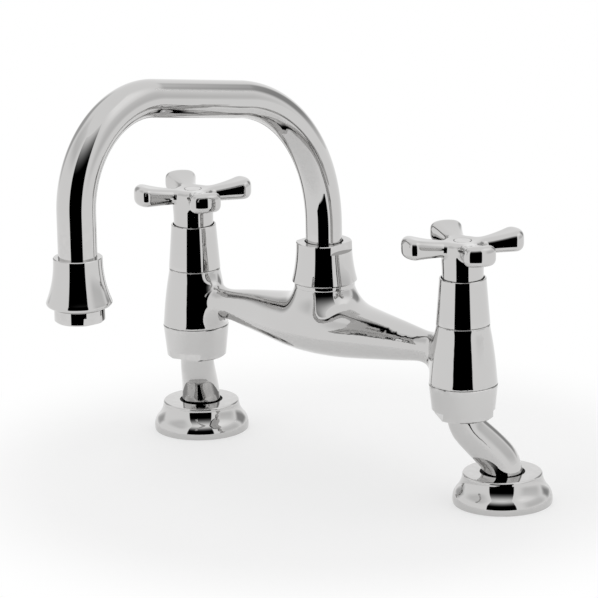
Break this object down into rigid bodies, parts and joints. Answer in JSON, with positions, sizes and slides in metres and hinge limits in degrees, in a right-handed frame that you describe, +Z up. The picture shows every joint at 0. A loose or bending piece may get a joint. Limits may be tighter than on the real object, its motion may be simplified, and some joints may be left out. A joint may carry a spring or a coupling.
{
  "type": "bridge kitchen mixer tap",
  "caption": "Bridge kitchen mixer with a swelling bridge, tapered barrels, cross handles, a rising swivel spout with aerator, and cranked swivel legs on round flanges.",
  "frame": {"origin": "on the deck plane, under the spout's swivel axis and midway between the two barrels", "axes": "+Z up, +X along the bridge towards the cold side (the user's right), -Y towards the user and the spout's outlet"},
  "size_m": [0.2836, 0.263, 0.305],
  "materials": {
    "cast_chrome": "polished chrome plate on a brass casting",
    "chrome": "polished chrome plate on turned brass",
    "brass": "plain machined brass",
    "steel": "bright stainless steel",
    "rubber": "matt black rubber",
    "fibre": "red fibre washer",
    "ceramic": "lapped white ceramic",
    "slip_plastic": "white slippery plastic",
    "flow_plastic": "dark grey moulded plastic"
  },
  "bodies": {
    "body": {"bridge_body": "cast_chrome", "spout_nut": "chrome", "spout_lower_slip_ring": "slip_plastic", "spout_upper_slip_ring": "slip_plastic", "hot_shroud": "chrome", "hot_cartridge_gasket": "rubber", "hot_cartridge_body": "brass", "hot_seat_seal": "rubber", "hot_fixed_disc": "ceramic", "hot_union_nut": "chrome", "hot_union_washer": "fibre", "cold_shroud": "chrome", "cold_cartridge_gasket": "rubber", "cold_cartridge_body": "brass", "cold_seat_seal": "rubber", "cold_fixed_disc": "ceramic", "cold_union_nut": "chrome", "cold_union_washer": "fibre"},
    "spout": {"spout_tube": "chrome", "spout_spigot": "brass", "spout_seals": "rubber", "outlet_bell": "chrome", "aerator_housing": "chrome", "aerator_insert": "flow_plastic", "aerator_screen": "steel", "aerator_washer": "rubber"},
    "hot_handle_set": {"hot_moving_disc": "ceramic", "hot_spindle": "brass", "hot_spindle_seals": "rubber", "hot_spindle_clip": "steel", "hot_handle": "cast_chrome", "hot_handle_screw": "steel", "hot_index_cap": "chrome"},
    "hot_leg_set": {"hot_leg": "chrome", "hot_flange": "chrome", "hot_flange_seal": "rubber", "hot_deck_gasket": "rubber", "hot_deck_washer": "steel", "hot_back_nut": "brass"},
    "cold_handle_set": {"cold_moving_disc": "ceramic", "cold_spindle": "brass", "cold_spindle_seals": "rubber", "cold_spindle_clip": "steel", "cold_handle": "cast_chrome", "cold_handle_screw": "steel", "cold_index_cap": "chrome"},
    "cold_leg_set": {"cold_leg": "chrome", "cold_flange": "chrome", "cold_flange_seal": "rubber", "cold_deck_gasket": "rubber", "cold_deck_washer": "steel", "cold_back_nut": "brass"}
  },
  "joints": [
    {"name": "spout_swivel", "type": "hinge", "parent": "body", "child": "spout", "pos_m": [0, 0, 0.126], "axis": [0, 0, 1], "continuous": true},
    {"name": "hot_handle_turn", "type": "hinge", "parent": "body", "child": "hot_handle_set", "pos_m": [-0.1, 0, 0.142], "axis": [0, 0, 1], "range_deg": [0, 90]},
    {"name": "cold_handle_turn", "type": "hinge", "parent": "body", "child": "cold_handle_set", "pos_m": [0.1, 0, 0.142], "axis": [0, 0, 1], "range_deg": [-90, 0]},
    {"name": "hot_leg_swivel", "type": "hinge", "parent": "body", "child": "hot_leg_set", "pos_m": [-0.1, 0, 0.058], "axis": [0, 0, 1], "range_deg": [-127.6, 52.4]},
    {"name": "cold_leg_swivel", "type": "hinge", "parent": "body", "child": "cold_leg_set", "pos_m": [0.1, 0, 0.058], "axis": [0, 0, 1], "range_deg": [-52.4, 127.6]}
  ]
}
